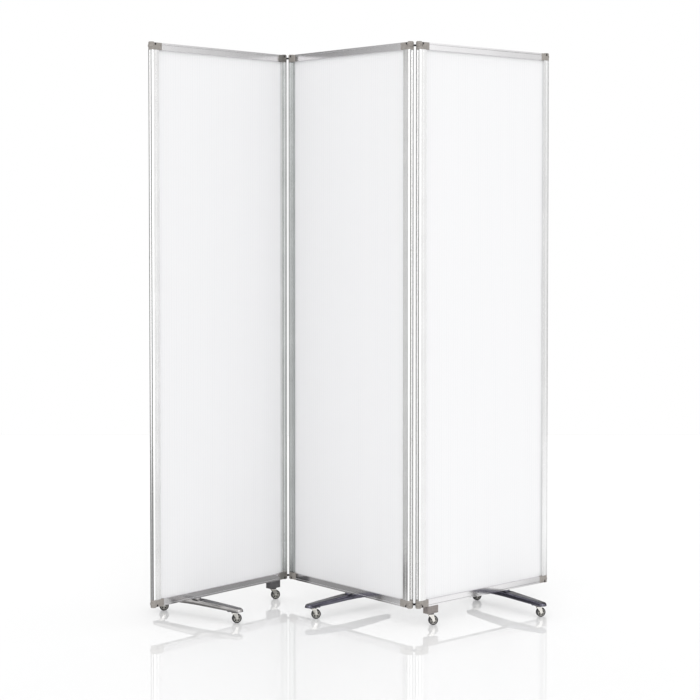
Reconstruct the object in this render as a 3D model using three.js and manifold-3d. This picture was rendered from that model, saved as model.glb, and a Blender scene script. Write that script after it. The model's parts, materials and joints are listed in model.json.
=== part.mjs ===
import * as THREE from 'three';
import { mergeVertices } from 'three/addons/utils/BufferGeometryUtils.js';
import Module from 'manifold-3d';

// Ward privacy screen on wheels: three framed panels, joined by double pivot links,
// standing in a zigzag on cross feet and swivel casters. Millimetres, +Z up.

const wasm = await Module();
wasm.setup();

// Driving dimensions of the screen
const railClearance = 62; // floor to the underside of the bottom rails
const frameHeight = 1740; // underside of the bottom rail to the top of the top rail
const panelWidth = 592; // edge to edge of one panel, over its two posts
const panelThickness = 22; // posts, rails and caps are flush
const leftYaw = 48.1; // degrees, each panel's direction seen from above
const centreYaw = -49.4;
const rightYaw = 42.2;

// Clearances and cutting values
const seatGap = 0.3; // between pieces that are fixed to each other
const runGap = 0.3; // between pieces that turn in each other
const eyeGap = 0.7; // round a link's eye, where its pin does the guiding
const overrun = 5; // how far a cutter passes the face that it cuts
const mergeTolerance = 0.0001;

// Extruded frame profile, shared by posts and rails
const postWidth = 26;
const railHeight = 22;
const profileWall = 2;
const sheetGrooveDepth = 8;
const edgeRadius = 4.6; // rounded corners of a post's outer edge
const edgeRibWidth = 7.4;
const edgeRibHeight = 0.7;
const edgeGrooveDepth = 2; // the two grooves beside the rib
const faceLineWidth = 1.4; // shallow line along the faces of posts and rails
const faceLineDepth = 0.5;
const railLinePlace = 5.5; // from the rail's outer face to the line's middle
const postLinePlace = 14;
const arcSteps = 3;

// Fluted twin-wall sheet
const sheetThickness = 6;
const sheetEdgeGap = 1; // from the sheet's edge to the bottom of its groove
const sheetSkin = 0.9;
const fluteWeb = 0.9;
const flutePitch = 10.2;

// Corner caps with a hinge knuckle
const capLength = 38; // along the rail
const pivotInset = 5; // from the panel's edge to the middle of the knuckle
const knuckleRadius = 8.5;
const knuckleRise = 2.5; // the knuckle stands above the rail
const knuckleChamfer = 1.6;
const knuckleSides = 10;
const spigotLength = 20;
const notchPlace = 10; // from the panel's edge to the near side of the notch
const notchWidth = 5;
const notchDepth = 4; // into the face
const notchHeight = 4.5;
const slotSides = 12;
const capCornerCut = 1.2;

// Double pivot links
const pivotSpacing = 26;
const linkThickness = 5;
const linkHalfWidth = 5; // the bar between the eyes
const linkEyeRadius = 10.6; // the eyes fill the slots, flush with the panel's faces
const linkDrop = 10; // from the rail's outer face to the middle of the link
const linkSides = 10;
const pinRadius = 3;
const pinSides = 8;
const pinDrop = 20; // lower end of the pin below the rail's outer face

// Cross feet
const footHalfLength = 183;
const footInset = 190; // from an outer panel's free edge to the middle of its foot
const footMiddleWidth = 38;
const footTipWidth = 27;
const footMiddleTop = 57;
const footTipTop = 50.5;
const footMiddleBottom = 42;
const footHub = 20; // level stretch beside the middle
const footPadStart = 124; // the level pad over the caster plate starts here
const footDraft = 2.2; // the sides lean in by this much towards the top
const footEdgeRound = 3.2;
const footTipRound = 3;
const edgeShare = 0.3; // where the round top edge bends again
const tipShares = [0, 0.35, 0.65, 0.88, 0.985]; // sections of the round tip
const bossRadius = 12;
const bossSides = 12;
const pocketStart = 22;
const pocketEnd = 116;
const pocketWall = 4;
const pocketRoof = 4.5;
const footBoltRadius = 4;
const footBoltHeadRadius = 6.5;
const footBoltHeadHeight = 5;
const footBoltHexRadius = 3;
const footBoltHexDepth = 2.6;
const footBoltReach = 6; // into the rail's chamber
const counterboreDepth = 6;
const boltSides = 8;
const hexSides = 6;

// Box brackets that carry a caster under the hinge end of the outer panels
const bracketLength = 44;
const bracketDepth = 24;
const bracketWall = 2.4;
const bracketInset = 58.5; // from the panel's hinge edge to the middle of the bracket
const bracketSocketWall = 3;
const bracketCornerCut = 1.4;
const bracketRibWidth = 2;
const bracketRibRise = 0.6;
const bracketRibSpacing = 6;

// Casters, from the floor up
const wheelRadius = 15;
const wheelWidth = 12;
const casterHeight = 38; // floor to the top of the mounting plate
const casterInset = 32; // from the foot's tip to the swivel axis
const trail = 8; // swivel axis to axle
const wheelSides = 12;
const treadRound = 1.6;
const rimRadius = 11.4;
const webWidth = 6;
const hubRadius = 4.4;
const hubProud = 0.2;
const boreRadius = 2.3;
const webHoles = 5;
const webHoleRadius = 2;
const webHoleSides = 4;
const plateLength = 42;
const plateWidth = 26;
const plateThickness = 2;
const plateCorner = 4;
const raceRadius = 10;
const raceHeight = 1;
const raceSides = 10;
const kingpinRadius = 3;
const kingpinSides = 8;
const kingpinHeadRadius = 4.6;
const kingpinHeadHeight = 1.3;
const stemRadius = 5;
const stemLength = 16;
const crownThickness = 1.7;
const crownFront = 8.5; // from the swivel axis to the crown's plain end
const crownTail = 9.5;
const crownCorner = 4;
const legThickness = 1.5;
const legTopFront = 5;
const legTopTail = 8.5;
const legEndRadius = 4.2;
const legSides = 3;
const axleSides = 6;
const rivetProud = 0.9; // the axle's riveted ends beyond the legs

// How far each foot stands askew on its one bolt, degrees seen from above
const footTurns = {
  left: 6.5,
  centre: 2,
  right: -4.5,
};

// Where each caster trails at rest, degrees seen from above
const casterHeadings = {
  leftFront: 18,
  leftRear: 12,
  leftHinge: 20,
  centreFront: 10,
  rightHinge: 16,
  rightFront: 14,
  rightRear: 22,
};

// Values worked out from the sizes above
const frameTop = railClearance + frameHeight;
const halfThickness = panelThickness / 2;
const halfWidth = panelWidth / 2;
const pivotPlace = halfWidth - pivotInset;
const grooveWidth = sheetThickness + 2 * seatGap;
const chamberStart = edgeGrooveDepth + profileWall;
const chamberEnd = postWidth - sheetGrooveDepth - profileWall;
const chamberHalf = halfThickness - profileWall;
const railChamberDepth = railHeight - sheetGrooveDepth - profileWall;
const postLength = frameHeight - 2 * (railHeight + seatGap);
const railLength = panelWidth - 2 * (capLength + seatGap);
const sheetWidth = panelWidth - 2 * (postWidth - sheetGrooveDepth + sheetEdgeGap);
const sheetHeight = frameHeight - 2 * (railHeight - sheetGrooveDepth + sheetEdgeGap);
const footTipBottom = casterHeight + seatGap;
const footBossTop = railClearance - seatGap;
const bracketBottom = casterHeight + seatGap;
const bracketHeight = railClearance - seatGap - bracketBottom;
const plateBottom = casterHeight - plateThickness;
const raceBottom = plateBottom - raceHeight;
const crownTop = raceBottom - runGap;
const crownBottom = crownTop - crownThickness;
const kingpinHeadTop = crownBottom - runGap;
const forkInside = wheelWidth / 2 + hubProud + runGap;
const forkOutside = forkInside + legThickness;
const axleRadius = boreRadius - runGap;

const UP = new THREE.Vector3(0, 0, 1);
const ALONG_X = new THREE.Matrix4().makeBasis(
  new THREE.Vector3(0, 1, 0),
  UP,
  new THREE.Vector3(1, 0, 0),
);
const ALONG_Y = new THREE.Matrix4().makeBasis(UP, new THREE.Vector3(1, 0, 0), new THREE.Vector3(0, 1, 0));

// A geometry's closed surface as a solid that can be cut and joined
function solid(geometry) {
  const bare = geometry.clone();
  bare.deleteAttribute('normal');
  bare.deleteAttribute('uv');
  const merged = mergeVertices(bare, mergeTolerance);
  return new wasm.Manifold(new wasm.Mesh({
    numProp: 3,
    vertProperties: new Float32Array(merged.attributes.position.array),
    triVerts: new Uint32Array(merged.index.array),
  }));
}

// A solid's surface as a geometry again
function surface(body) {
  const { numProp, vertProperties, triVerts } = body.getMesh();
  const points = new Float32Array((vertProperties.length / numProp) * 3);
  for (let i = 0; i < points.length / 3; i += 1) {
    points.set(vertProperties.subarray(i * numProp, i * numProp + 3), i * 3);
  }
  const geometry = new THREE.BufferGeometry();
  geometry.setAttribute('position', new THREE.BufferAttribute(points, 3));
  geometry.setIndex(new THREE.BufferAttribute(new Uint32Array(triVerts), 1));
  return geometry;
}

function joined(first, ...others) {
  return others.reduce((body, other) => body.add(other), first);
}

function cut(first, ...others) {
  return others.reduce((body, other) => body.subtract(other), first);
}

// A box between two corners
function box(x0, x1, y0, y1, z0, z1) {
  const geometry = new THREE.BoxGeometry(x1 - x0, y1 - y0, z1 - z0);
  return geometry.translate((x0 + x1) / 2, (y0 + y1) / 2, (z0 + z1) / 2);
}

// An upright cylinder between two heights
function cylinder(radius, bottom, top, sides, x = 0, y = 0) {
  const geometry = new THREE.CylinderGeometry(radius, radius, top - bottom, sides);
  return geometry.rotateX(Math.PI / 2).translate(x, y, (bottom + top) / 2);
}

// A flat outline drawn up to a height
function prism(shape, height) {
  return new THREE.ExtrudeGeometry(shape, { depth: height, bevelEnabled: false, curveSegments: arcSteps });
}

function polygon(points) {
  return new THREE.Shape(points.map(([x, y]) => new THREE.Vector2(x, y)));
}

function rectangle(x0, x1, y0, y1) {
  return polygon([[x0, y0], [x1, y0], [x1, y1], [x0, y1]]);
}

// A rectangle with its corners cut off
function cutRectangle(x0, x1, y0, y1, corner) {
  return polygon([
    [x0 + corner, y0], [x1 - corner, y0], [x1, y0 + corner], [x1, y1 - corner],
    [x1 - corner, y1], [x0 + corner, y1], [x0, y1 - corner], [x0, y0 + corner],
  ]);
}

// A skin over rings of points, all with the same count, closed at both ends
function loft(rings) {
  const count = rings[0].length;
  const points = rings.flat(2);
  const faces = [];
  for (let r = 0; r + 1 < rings.length; r += 1) {
    for (let i = 0; i < count; i += 1) {
      const a = r * count + i;
      const b = r * count + ((i + 1) % count);
      faces.push(a, b + count, b, a, a + count, b + count);
    }
  }
  const last = (rings.length - 1) * count;
  for (let i = 1; i + 1 < count; i += 1) {
    faces.push(0, i, i + 1, last, last + i + 1, last + i);
  }
  const geometry = new THREE.BufferGeometry();
  geometry.setAttribute('position', new THREE.Float32BufferAttribute(points, 3));
  geometry.setIndex(faces);
  return geometry;
}

// Finishes, one new material for each piece
const finishes = {
  aluminium: { color: '#c4c7c9', roughness: 0.38, metalness: 0.9 },
  capPlastic: { color: '#8f8d88', roughness: 0.5, metalness: 0 },
  sheet: { color: '#f1f2f3', roughness: 0.45, metalness: 0 },
  darkSteel: { color: '#3b3a3c', roughness: 0.45, metalness: 0.8 },
  polishedCasting: { color: '#8b8992', roughness: 0.14, metalness: 1 },
  zinc: { color: '#a3a6aa', roughness: 0.35, metalness: 1 },
  bracketPlastic: { color: '#8a8685', roughness: 0.55, metalness: 0 },
  chrome: { color: '#d7d8da', roughness: 0.12, metalness: 1 },
  wheel: { color: '#4b4b4c', roughness: 0.6, metalness: 0 },
};

function piece(name, finish, geometry) {
  const mesh = new THREE.Mesh(geometry, new THREE.MeshStandardMaterial(finishes[finish]));
  mesh.name = name;
  return mesh;
}

// A child group, moved along x and turned about the upright axis
function turned(parent, x, degrees) {
  const group = new THREE.Group();
  group.position.set(x, 0, 0);
  group.rotation.z = THREE.MathUtils.degToRad(degrees);
  parent.add(group);
  return group;
}

// Post outline in plan: x runs from the panel's edge inwards, y across its thickness
function postOutline() {
  const shape = new THREE.Shape();
  const corner = halfThickness - edgeRadius;
  const rib = edgeRibWidth / 2;
  const groove = grooveWidth / 2;
  const lineNear = postLinePlace - faceLineWidth / 2;
  const lineFar = postLinePlace + faceLineWidth / 2;
  const lineFloor = halfThickness - faceLineDepth;
  shape.moveTo(postWidth, halfThickness);
  shape.lineTo(lineFar, halfThickness);
  shape.lineTo(postLinePlace, lineFloor);
  shape.lineTo(lineNear, halfThickness);
  shape.absarc(edgeRadius, corner, edgeRadius, Math.PI / 2, Math.PI);
  shape.lineTo(edgeGrooveDepth, corner);
  shape.lineTo(edgeGrooveDepth, rib);
  shape.lineTo(-edgeRibHeight, rib);
  shape.lineTo(-edgeRibHeight, -rib);
  shape.lineTo(edgeGrooveDepth, -rib);
  shape.lineTo(edgeGrooveDepth, -corner);
  shape.absarc(edgeRadius, -corner, edgeRadius, Math.PI, 1.5 * Math.PI);
  shape.lineTo(lineNear, -halfThickness);
  shape.lineTo(postLinePlace, -lineFloor);
  shape.lineTo(lineFar, -halfThickness);
  shape.lineTo(postWidth, -halfThickness);
  shape.lineTo(postWidth, -groove);
  shape.lineTo(postWidth - sheetGrooveDepth, -groove);
  shape.lineTo(postWidth - sheetGrooveDepth, groove);
  shape.lineTo(postWidth, groove);
  shape.holes.push(rectangle(chamberStart, chamberEnd, -chamberHalf, chamberHalf));
  return shape;
}

function postGeometry() {
  return prism(postOutline(), postLength).translate(-halfWidth, 0, railClearance + railHeight + seatGap);
}

// Rail outline: x across the thickness, y from the outer face towards the sheet
function railOutline() {
  const groove = grooveWidth / 2;
  const lineFloor = halfThickness - faceLineDepth;
  const line = faceLineWidth / 2;
  const half = [
    [halfThickness, 0],
    [halfThickness, railLinePlace - line],
    [lineFloor, railLinePlace],
    [halfThickness, railLinePlace + line],
    [halfThickness, railHeight],
    [groove, railHeight],
    [groove, railHeight - sheetGrooveDepth],
  ];
  const shape = polygon([...half, ...half.map(([x, y]) => [-x, y]).reverse()]);
  shape.holes.push(rectangle(-chamberHalf, chamberHalf, profileWall, railChamberDepth));
  return shape;
}

// Bottom rail, with a bolt hole under the foot where there is one
function railGeometry(boltPlace) {
  const rail = prism(railOutline(), railLength).applyMatrix4(ALONG_X);
  rail.translate(-railLength / 2, 0, railClearance);
  if (boltPlace === undefined) return rail;
  const low = railClearance - overrun;
  const hole = cylinder(footBoltRadius + seatGap, low, railClearance + profileWall + overrun, boltSides, boltPlace);
  return surface(cut(solid(rail), solid(hole)));
}

// The top rail is a rail without a hole, turned over about the panel's length
function topRailGeometry() {
  return railGeometry().rotateX(Math.PI).translate(0, 0, railClearance + frameTop);
}

// Twin-wall sheet: two skins joined by upright webs, open at both ends
function sheetGeometry() {
  const halfSheet = sheetThickness / 2;
  const inside = halfSheet - sheetSkin;
  const flutes = [];
  const count = Math.floor((sheetWidth - fluteWeb) / flutePitch);
  const first = (fluteWeb - count * flutePitch) / 2;
  for (let i = 0; i < count; i += 1) {
    const start = first + i * flutePitch;
    const end = start + flutePitch - fluteWeb;
    flutes.push(solid(box(start, end, -inside, inside, -overrun, sheetHeight + overrun)));
  }
  const board = solid(box(-sheetWidth / 2, sheetWidth / 2, -halfSheet, halfSheet, 0, sheetHeight));
  const base = railClearance + railHeight - sheetGrooveDepth + sheetEdgeGap;
  return surface(cut(board, ...flutes)).translate(0, 0, base);
}

// Knuckle of a cap: a round barrel with a chamfered top
function knuckle(radius, bottom, top, chamfer) {
  const profile = [
    new THREE.Vector2(0, bottom),
    new THREE.Vector2(radius, bottom),
    new THREE.Vector2(radius, top - chamfer),
    new THREE.Vector2(radius - chamfer, top),
    new THREE.Vector2(0, top),
  ];
  return new THREE.LatheGeometry(profile, knuckleSides).rotateX(Math.PI / 2);
}

// Small pocket in both faces beside the knuckle
function notchCutters() {
  return [1, -1].map((side) => {
    const inner = side * (halfThickness - notchDepth);
    const outer = side * (halfThickness + overrun);
    const low = Math.min(inner, outer);
    const high = Math.max(inner, outer);
    return solid(box(notchPlace, notchPlace + notchWidth, low, high, -notchHeight, overrun));
  });
}

// The two tongues that hold the cap in the post and in the rail
function spigots() {
  const side = chamberHalf - seatGap;
  const post = box(
    chamberStart + seatGap,
    chamberEnd - seatGap,
    -side,
    side,
    -railHeight - spigotLength,
    -railHeight + seatGap,
  );
  const rail = box(
    capLength - seatGap,
    capLength + spigotLength,
    -side,
    side,
    seatGap - railChamberDepth,
    -profileWall - seatGap,
  );
  return [solid(post), solid(rail)];
}

// Cap outline in plan: it meets the rail with cut corners and rounds off as the post does
function capOutline() {
  const cornerEnd = capLength - capCornerCut;
  const cornerSide = halfThickness - capCornerCut;
  const straight = halfThickness - edgeRadius;
  const shape = new THREE.Shape();
  shape.moveTo(cornerEnd, halfThickness);
  shape.absarc(edgeRadius, straight, edgeRadius, Math.PI / 2, Math.PI);
  shape.absarc(edgeRadius, -straight, edgeRadius, Math.PI, 1.5 * Math.PI);
  shape.lineTo(cornerEnd, -halfThickness);
  shape.lineTo(capLength, -cornerSide);
  shape.lineTo(capLength, cornerSide);
  shape.closePath();
  return shape;
}

// Corner cap for the top left corner of a panel. Its own origin is the panel's upper outer corner.
function capGeometry(hinged) {
  const block = solid(prism(capOutline(), railHeight).translate(0, 0, -railHeight));
  const barrel = knuckle(knuckleRadius, -railHeight, knuckleRise, knuckleChamfer);
  const whole = joined(block, solid(barrel.translate(pivotInset, 0, 0)), ...spigots());
  const grooveHalf = grooveWidth / 2;
  const grooveStart = postWidth - sheetGrooveDepth;
  const grooveTop = sheetGrooveDepth - railHeight;
  const groove = box(grooveStart, capLength + overrun, -grooveHalf, grooveHalf, -railHeight - overrun, grooveTop);
  const body = cut(whole, solid(groove), ...notchCutters());
  const slotHalf = linkThickness / 2 + runGap;
  const slotLow = -linkDrop - slotHalf;
  const slotHigh = -linkDrop + slotHalf;
  if (!hinged) {
    const lug = cylinder(linkEyeRadius, slotLow, slotHigh, linkSides, pivotInset);
    return surface(body.add(solid(lug)));
  }
  const side = halfThickness + overrun;
  const swing = box(-overrun, pivotInset + linkHalfWidth + runGap, -side, side, slotLow, slotHigh);
  const eye = cylinder(linkEyeRadius + eyeGap, slotLow, slotHigh, slotSides, pivotInset);
  const hole = cylinder(pinRadius + runGap, -pinDrop - runGap, knuckleRise + overrun, pinSides, pivotInset);
  return surface(cut(body, solid(swing), solid(eye), solid(hole)));
}

// Link with a round eye and a pivot pin at each end. It lies along x from one pivot to the next.
function linkGeometry() {
  const bottom = -linkDrop - linkThickness / 2;
  const top = -linkDrop + linkThickness / 2;
  const bar = box(0, pivotSpacing, -linkHalfWidth, linkHalfWidth, bottom, top);
  const ends = [0, pivotSpacing].map((x) => joined(
    solid(cylinder(linkEyeRadius, bottom, top, linkSides, x)),
    solid(cylinder(pinRadius, -pinDrop, knuckleRise - runGap, pinSides, x)),
  ));
  return surface(joined(solid(bar), ...ends));
}

// Height of the foot's top or underside at a distance from its middle
function slope(distance, from, to, middleHeight, tipHeight) {
  const share = THREE.MathUtils.clamp((distance - from) / (to - from), 0, 1);
  return THREE.MathUtils.lerp(middleHeight, tipHeight, share);
}

// One cross-section of the foot, at a place along its length
function footRing(place) {
  const distance = Math.abs(place);
  const taper = THREE.MathUtils.lerp(footMiddleWidth, footTipWidth, distance / footHalfLength) / 2;
  const roundStart = footHalfLength - footTipWidth / 2;
  const round = Math.max(0, distance - roundStart) / (footTipWidth / 2);
  const half = taper * Math.sqrt(Math.max(0, 1 - round * round));
  const drop = footTipRound * round * round;
  const top = slope(distance, footHub, footHalfLength, footMiddleTop, footTipTop) - drop;
  const bottom = slope(distance, footHub, footPadStart, footMiddleBottom, footTipBottom);
  const draft = Math.min(footDraft, half / 2);
  const edge = Math.min(footEdgeRound, half / 2);
  const flat = half - draft - edge;
  return [
    [half, place, bottom],
    [half - draft, place, top - edge],
    [half - draft - edge * edgeShare, place, top - edge * edgeShare],
    [flat, place, top],
    [-flat, place, top],
    [-half + draft + edge * edgeShare, place, top - edge * edgeShare],
    [-half + draft, place, top - edge],
    [-half, place, bottom],
  ];
}

// Cast cross foot with its boss, ribbed out underneath between the boss and the caster pads
function footGeometry() {
  const rings = footPlaces().map(footRing);
  const arm = solid(loft(rings));
  const boss = solid(cylinder(bossRadius, footMiddleBottom, footBossTop, bossSides));
  const pocketTop = footTipTop - pocketRoof;
  const pockets = [1, -1].map((side) => {
    const near = footMiddleWidth / 2 - pocketWall;
    const far = footTipWidth / 2 - pocketWall + footDraft;
    const shape = polygon([
      [-near, side * pocketStart], [near, side * pocketStart],
      [far, side * pocketEnd], [-far, side * pocketEnd],
    ]);
    return solid(prism(shape, pocketTop));
  });
  const low = footMiddleBottom - overrun;
  const hole = solid(cylinder(footBoltRadius + seatGap, low, railClearance + overrun, boltSides));
  const seatRadius = footBoltHeadRadius + seatGap;
  const counterbore = solid(cylinder(seatRadius, low, footMiddleBottom + counterboreDepth, boltSides));
  return surface(cut(arm.add(boss), ...pockets, hole, counterbore));
}

// Places of the foot's sections, close together at the round tips
function footPlaces() {
  const roundStart = footHalfLength - footTipWidth / 2;
  const tips = tipShares.map((share) => THREE.MathUtils.lerp(roundStart, footHalfLength, share));
  const right = [footHub, footPadStart, ...tips];
  return [...right.map((place) => -place).reverse(), ...right];
}

// Socket head bolt that holds the foot to the rail
function footBoltGeometry() {
  const headTop = footMiddleBottom + counterboreDepth - seatGap;
  const headBottom = headTop - footBoltHeadHeight;
  const head = solid(cylinder(footBoltHeadRadius, headBottom, headTop, boltSides));
  const shank = solid(cylinder(footBoltRadius, headBottom, railClearance + profileWall + footBoltReach, boltSides));
  const socket = cylinder(footBoltHexRadius, headBottom - overrun, headBottom + footBoltHexDepth, hexSides);
  return surface(cut(joined(head, shank), solid(socket)));
}

// Moulded box bracket, open underneath, with a round socket for the caster's stem
function bracketGeometry() {
  const halfLength = bracketLength / 2;
  const halfDepth = bracketDepth / 2;
  const outer = cutRectangle(-halfLength, halfLength, -halfDepth, halfDepth, bracketCornerCut);
  const inside = rectangle(
    -halfLength + bracketWall,
    halfLength - bracketWall,
    -halfDepth + bracketWall,
    halfDepth - bracketWall,
  );
  const shell = solid(prism(outer, bracketHeight));
  const hollow = solid(prism(inside, bracketHeight - bracketWall + overrun).translate(0, 0, -overrun));
  const socketRadius = stemRadius + seatGap + bracketSocketWall;
  const socket = solid(cylinder(socketRadius, 0, bracketHeight - bracketWall, boltSides));
  const bore = solid(cylinder(stemRadius + seatGap, -overrun, stemLength + seatGap, boltSides));
  const ribs = [-1, 0, 1].map((step) => {
    const middle = step * bracketRibSpacing;
    const low = middle - bracketRibWidth / 2;
    const high = middle + bracketRibWidth / 2;
    const reach = halfLength + bracketRibRise;
    return solid(box(-reach, reach, low, high, 0, bracketHeight));
  });
  const skin = cut(joined(shell, ...ribs), hollow);
  return surface(cut(joined(skin, socket), bore)).translate(0, 0, bracketBottom);
}

// Fixed part of a caster: race, kingpin and either a plate or a stem
function casterMountGeometry(stemmed) {
  const race = solid(cylinder(raceRadius, raceBottom, plateBottom + seatGap, raceSides));
  const headBottom = kingpinHeadTop - kingpinHeadHeight;
  const pin = solid(cylinder(kingpinRadius, headBottom, plateBottom + seatGap, kingpinSides));
  const head = solid(cylinder(kingpinHeadRadius, headBottom, kingpinHeadTop, raceSides));
  const turning = joined(race, pin, head);
  if (stemmed) {
    const disc = solid(cylinder(raceRadius, plateBottom, casterHeight, raceSides));
    const stem = solid(cylinder(stemRadius, plateBottom, bracketBottom + stemLength, boltSides));
    return surface(joined(turning, disc, stem));
  }
  const halfPlate = plateWidth / 2;
  const outline = cutRectangle(-halfPlate, halfPlate, -plateLength / 2, plateLength / 2, plateCorner);
  return surface(turning.add(solid(prism(outline, plateThickness).translate(0, 0, plateBottom))));
}

// Side view of a fork leg: wide at the crown, round at the axle
function legOutline() {
  const points = [[crownTop - seatGap, -legTopFront]];
  for (let i = 0; i <= legSides; i += 1) {
    const angle = -Math.PI / 2 + (i * Math.PI) / legSides;
    points.push([wheelRadius - legEndRadius * Math.cos(angle), trail + legEndRadius * Math.sin(angle)]);
  }
  points.push([crownTop - seatGap, legTopTail]);
  return polygon(points);
}

// Pressed fork with its riveted axle, trailing behind the swivel axis along +x
function forkGeometry() {
  const crownShape = cutRectangle(-crownFront, crownTail, -forkOutside, forkOutside, crownCorner);
  const crown = solid(prism(crownShape, crownThickness).translate(0, 0, crownBottom));
  const legs = [forkInside, -forkOutside].map((y) => {
    const leg = prism(legOutline(), legThickness).applyMatrix4(ALONG_Y);
    return solid(leg.translate(0, y, 0));
  });
  const reach = forkOutside + rivetProud;
  const axle = solid(crosswise(axleRadius, -reach, reach, axleSides));
  const hole = solid(cylinder(kingpinRadius + runGap, crownBottom - overrun, crownTop + overrun, kingpinSides));
  return surface(cut(joined(crown, ...legs), hole).add(axle));
}

// A cylinder across the wheel, on the axle's line
function crosswise(radius, from, to, sides) {
  return cylinder(radius, from, to, sides).rotateX(-Math.PI / 2).translate(trail, 0, wheelRadius);
}

// Wheel with a round-shouldered tread, a recessed web with holes and a hub
function wheelGeometry() {
  const half = wheelWidth / 2;
  const web = webWidth / 2;
  const side = [
    [boreRadius, half + hubProud],
    [hubRadius, half + hubProud],
    [hubRadius, web],
    [rimRadius, web],
    [wheelRadius - treadRound, half],
    [wheelRadius, half - treadRound],
  ];
  const profile = [...side, ...side.map(([r, z]) => [r, -z]).reverse()];
  profile.push(profile[0]);
  const turnedShape = profile.map(([r, z]) => new THREE.Vector2(r, z)).reverse();
  const disc = solid(new THREE.LatheGeometry(turnedShape, wheelSides));
  const holeRing = (hubRadius + rimRadius) / 2;
  const holes = [];
  for (let i = 0; i < webHoles; i += 1) {
    const angle = (i * 2 * Math.PI) / webHoles;
    const bar = new THREE.CylinderGeometry(webHoleRadius, webHoleRadius, wheelWidth, webHoleSides);
    bar.translate(holeRing * Math.cos(angle), 0, holeRing * Math.sin(angle));
    holes.push(solid(bar));
  }
  return surface(cut(disc, ...holes)).translate(trail, 0, wheelRadius);
}

// The frame of one panel: two posts, two rails, the sheet and four corner caps
function addFrame(panel, name, boltPlace, hingedLeft, hingedRight) {
  panel.add(piece(`${name}_left_post`, 'aluminium', postGeometry()));
  panel.add(piece(`${name}_right_post`, 'aluminium', postGeometry().rotateZ(Math.PI)));
  panel.add(piece(`${name}_bottom_rail`, 'aluminium', railGeometry(boltPlace)));
  panel.add(piece(`${name}_top_rail`, 'aluminium', topRailGeometry()));
  panel.add(piece(`${name}_sheet`, 'sheet', sheetGeometry()));
  for (const top of [true, false]) {
    for (const left of [true, false]) {
      const cap = capGeometry(left ? hingedLeft : hingedRight);
      if (!top) cap.rotateX(Math.PI);
      cap.translate(-halfWidth, 0, top ? frameTop : railClearance);
      if (!left) cap.rotateZ(Math.PI);
      const place = `${top ? 'top' : 'bottom'}_${left ? 'left' : 'right'}`;
      panel.add(piece(`${name}_cap_${place}`, 'capPlastic', cap));
    }
  }
}

// Top and bottom links of one hinge
function addLinks(group, name, side) {
  for (const top of [true, false]) {
    const link = linkGeometry();
    if (!top) link.rotateX(Math.PI);
    link.translate(0, 0, top ? frameTop : railClearance);
    if (side < 0) link.rotateZ(Math.PI);
    group.add(piece(`${name}_hinge_link_${top ? 'top' : 'bottom'}`, 'darkSteel', link));
  }
}

// One caster: the mount is fixed, the fork swivels and the wheel spins
function addCaster(panel, name, x, y, heading, stemmed) {
  const place = new THREE.Group();
  place.position.set(x, y, 0);
  place.add(piece(`${name}_caster_mount`, 'darkSteel', casterMountGeometry(stemmed)));
  const fork = turned(place, 0, heading);
  fork.add(piece(`${name}_caster_fork`, 'chrome', forkGeometry()));
  fork.add(piece(`${name}_caster_wheel`, 'wheel', wheelGeometry()));
  panel.add(place);
}

// A cross foot with its bolt. Its casters are added to the group that it returns.
function addFoot(panel, name, place, turn) {
  const group = turned(panel, place, turn);
  group.add(piece(`${name}_foot`, 'polishedCasting', footGeometry()));
  group.add(piece(`${name}_foot_bolt`, 'zinc', footBoltGeometry()));
  return group;
}

function addBracket(panel, name, place) {
  panel.add(piece(`${name}_caster_bracket`, 'bracketPlastic', bracketGeometry().translate(place, 0, 0)));
}

// The screen: the centre panel carries the links, and the links carry the outer panels
function buildScreen() {
  const screen = new THREE.Group();
  const centre = turned(screen, 0, centreYaw);
  const leftFold = (leftYaw - centreYaw) / 2; // each of the two pivots takes half of the fold
  const rightFold = (rightYaw - centreYaw) / 2;
  const leftLinks = turned(centre, -pivotPlace, leftFold);
  const left = turned(turned(leftLinks, -pivotSpacing, leftFold), -pivotPlace, 0);
  const rightLinks = turned(centre, pivotPlace, rightFold);
  const right = turned(turned(rightLinks, pivotSpacing, rightFold), pivotPlace, 0);

  const footPlace = halfWidth - footInset;
  const bracketPlace = halfWidth - bracketInset;
  const casterReach = footHalfLength - casterInset;
  const leftTrail = -leftYaw - footTurns.left; // turns a heading seen from above into the foot's own
  const centreTrail = -centreYaw - footTurns.centre;
  const rightTrail = -rightYaw - footTurns.right;

  addFrame(centre, 'centre', 0, true, true);
  addFrame(left, 'left', -footPlace, false, true);
  addFrame(right, 'right', footPlace, true, false);
  addLinks(leftLinks, 'left', -1);
  addLinks(rightLinks, 'right', 1);
  const centreFoot = addFoot(centre, 'centre', 0, footTurns.centre);
  const leftFoot = addFoot(left, 'left', -footPlace, footTurns.left);
  const rightFoot = addFoot(right, 'right', footPlace, footTurns.right);
  addBracket(left, 'left', bracketPlace);
  addBracket(right, 'right', -bracketPlace);

  addCaster(leftFoot, 'left_front', 0, -casterReach, casterHeadings.leftFront + leftTrail, false);
  addCaster(leftFoot, 'left_rear', 0, casterReach, casterHeadings.leftRear + leftTrail, false);
  addCaster(left, 'left_hinge', bracketPlace, 0, casterHeadings.leftHinge - leftYaw, true);
  addCaster(centreFoot, 'centre_front', 0, -casterReach, casterHeadings.centreFront + centreTrail, false);
  addCaster(right, 'right_hinge', -bracketPlace, 0, casterHeadings.rightHinge - rightYaw, true);
  addCaster(rightFoot, 'right_front', 0, -casterReach, casterHeadings.rightFront + rightTrail, false);
  addCaster(rightFoot, 'right_rear', 0, casterReach, casterHeadings.rightRear + rightTrail, false);
  return screen;
}

// The origin lies on the floor under the middle of the standing screen
function centred(screen) {
  screen.updateMatrixWorld(true);
  const bounds = new THREE.Box3().setFromObject(screen, true);
  const middle = bounds.getCenter(new THREE.Vector3());
  screen.position.set(-middle.x, -middle.y, -bounds.min.z);
  return screen;
}

export default centred(buildScreen());
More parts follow.
